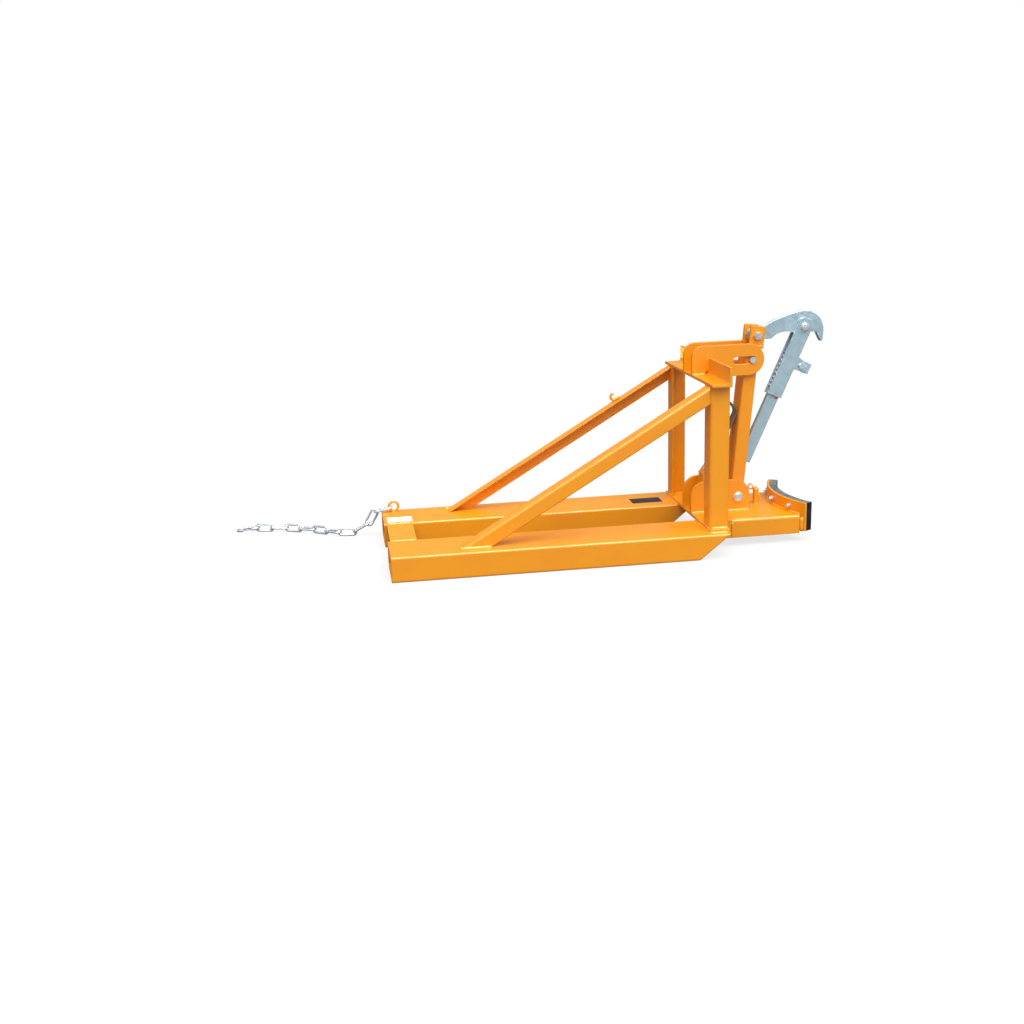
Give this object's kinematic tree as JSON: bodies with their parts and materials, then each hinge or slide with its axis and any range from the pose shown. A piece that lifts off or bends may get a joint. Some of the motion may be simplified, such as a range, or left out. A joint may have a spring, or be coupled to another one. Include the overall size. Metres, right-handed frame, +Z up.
{
  "type": "fork-mounted drum lifter",
  "caption": "Fork-pocket drum lifter: braced frame, rubber-faced drum saddle, sprung swinging arm, rim-gripping beak with jaw and sliding foot, and a safety chain with snap hook.",
  "frame": {"origin": "on the middle plane at the rear mouth of the fork pockets, level with their undersides", "axes": "+X to the drum side, +Y to the left of the carrier, +Z up"},
  "size_m": [1.8042, 0.6806, 0.6737],
  "materials": {
    "orange_paint": "semi-gloss enamel over welded steel",
    "galvanised": "galvanised, matt grey with a faint spangle",
    "bright_zinc": "bright zinc plate",
    "spring_steel": "bare spring steel",
    "rubber": "matt black rubber"
  },
  "bodies": {
    "frame": {"fork_pocket_right": "orange_paint", "fork_pocket_left": "orange_paint", "rear_cross_plate": "orange_paint", "base_plate": "orange_paint", "front_beam": "orange_paint", "saddle_platform": "orange_paint", "saddle_plate": "orange_paint", "saddle_pad": "rubber", "saddle_bolts": "bright_zinc", "post_right": "orange_paint", "post_left": "orange_paint", "brace_right": "orange_paint", "brace_left": "orange_paint", "top_angle": "orange_paint", "guide_plate_right": "orange_paint", "guide_plate_left": "orange_paint", "pivot_cheek_right": "orange_paint", "pivot_cheek_left": "orange_paint", "arm_pivot_bolt": "bright_zinc", "spring_bracket": "orange_paint", "leaf_root": "spring_steel", "spring_bolt": "bright_zinc", "chain_eye": "orange_paint", "chain_hook": "orange_paint", "peg": "orange_paint"},
    "arm": {"arm_tube": "orange_paint", "arm_bush": "spring_steel", "arm_cap": "orange_paint", "arm_ear_right": "orange_paint", "arm_ear_left": "orange_paint", "guide_pin": "bright_zinc", "hook_bolt": "bright_zinc", "hook_spacers": "bright_zinc"},
    "hook": {"hook_plate": "galvanised", "jaw_bolt": "bright_zinc"},
    "jaw": {"jaw_channel": "galvanised", "jaw_shoe": "galvanised", "shoe_bolt": "bright_zinc", "spring_stop": "galvanised", "coil_spring": "spring_steel", "foot_keeper": "bright_zinc"},
    "foot": {"foot_bar": "galvanised"},
    "leaf": {"leaf_spring": "spring_steel"},
    "clip": {"spring_clip": "orange_paint"},
    "link_01": {"chain_link_01": "bright_zinc"},
    "link_02": {"chain_link_02": "bright_zinc"},
    "link_03": {"chain_link_03": "bright_zinc"},
    "link_04": {"chain_link_04": "bright_zinc"},
    "link_05": {"chain_link_05": "bright_zinc"},
    "link_06": {"chain_link_06": "bright_zinc"},
    "link_07": {"chain_link_07": "bright_zinc"},
    "link_08": {"chain_link_08": "bright_zinc"},
    "link_09": {"chain_link_09": "bright_zinc"},
    "link_10": {"chain_link_10": "bright_zinc"},
    "snap": {"snap_hook": "bright_zinc"},
    "gate": {"snap_gate": "bright_zinc"}
  },
  "joints": [
    {"name": "arm_swing", "type": "hinge", "parent": "frame", "child": "arm", "pos_m": [1.069, 0, 0.125], "axis": [0, 1, 0], "range_deg": [-7, 0], "stiffness_Nm_per_rad": 120, "springref_deg": 20.05},
    {"name": "leaf_bend", "type": "hinge", "parent": "frame", "child": "leaf", "pos_m": [0.99496, 0, 0.21703], "axis": [0, 1, 0], "range_deg": [-10.7, 0]},
    {"name": "hook_tilt", "type": "hinge", "parent": "arm", "child": "hook", "pos_m": [1.12532, 0, 0.60874], "axis": [0, 1, 0], "range_deg": [-50, 0]},
    {"name": "jaw_swing", "type": "hinge", "parent": "hook", "child": "jaw", "pos_m": [1.27838, 0, 0.62574], "axis": [0, 1, 0], "range_deg": [-35, 0]},
    {"name": "foot_slide", "type": "slide", "parent": "jaw", "child": "foot", "axis": [0.4067, 0, 0.9135], "range_m": [0, 0.04], "stiffness_N_per_m": 900, "springref_m": -0.03, "deforming": ["coil_spring"]},
    {"name": "clip_pull", "type": "slide", "parent": "frame", "child": "clip", "axis": [-0.4698, 0.671, 0.5736], "range_m": [0, 0.045]},
    {"name": "chain_01", "type": "hinge", "parent": "frame", "child": "link_01", "pos_m": [0.038, 0.235, 0.0935], "axis": [0, 1, 0], "range_deg": [0, 60]},
    {"name": "chain_02", "type": "hinge", "parent": "link_01", "child": "link_02", "pos_m": [-0.0219, 0.24309, 0.07726], "axis": [0.1736, 0.9848, 0], "range_deg": [-10, 40]},
    {"name": "chain_03", "type": "hinge", "parent": "link_02", "child": "link_03", "pos_m": [-0.04591, 0.24733, 0.03504], "axis": [-0.8529, 0.1504, 0.5], "range_deg": [-20, 20]},
    {"name": "chain_04", "type": "hinge", "parent": "link_03", "child": "link_04", "pos_m": [-0.09051, 0.25519, 0.01405], "axis": [0.1736, 0.9848, 0], "range_deg": [-15, 25]},
    {"name": "chain_05", "type": "hinge", "parent": "link_04", "child": "link_05", "pos_m": [-0.13852, 0.26365, 0.01405], "axis": [0, 0, 1], "range_deg": [-30, 30]},
    {"name": "chain_06", "type": "hinge", "parent": "link_05", "child": "link_06", "pos_m": [-0.17845, 0.29162, 0.01405], "axis": [-0.5736, -0.8192, 0], "range_deg": [-30, 30]},
    {"name": "chain_07", "type": "hinge", "parent": "link_06", "child": "link_07", "pos_m": [-0.21838, 0.31958, 0.01405], "axis": [0, 0, -1], "range_deg": [-30, 30]},
    {"name": "chain_08", "type": "hinge", "parent": "link_07", "child": "link_08", "pos_m": [-0.26257, 0.34018, 0.01405], "axis": [0.4226, 0.9063, 0], "range_deg": [-30, 30]},
    {"name": "chain_09", "type": "hinge", "parent": "link_08", "child": "link_09", "pos_m": [-0.30675, 0.36078, 0.01405], "axis": [0, 0, 1], "range_deg": [-30, 30]},
    {"name": "chain_10", "type": "hinge", "parent": "link_09", "child": "link_10", "pos_m": [-0.35384, 0.3734, 0.01405], "axis": [-0.2588, -0.9659, 0], "range_deg": [-30, 30]},
    {"name": "snap_turn", "type": "hinge", "parent": "link_10", "child": "snap", "pos_m": [-0.40093, 0.38602, 0.01405], "axis": [0, 0, 1], "range_deg": [-50, 50]},
    {"name": "gate_open", "type": "hinge", "parent": "snap", "child": "gate", "pos_m": [-0.41594, 0.37658, 0.01127], "axis": [0.1344, -0.036, -0.9903], "range_deg": [0, 30], "stiffness_Nm_per_rad": 0.03, "springref_deg": -34.38}
  ],
  "couplings": [
    {"joint": "leaf_bend", "follows": "arm_swing", "ratio": 1.52}
  ]
}
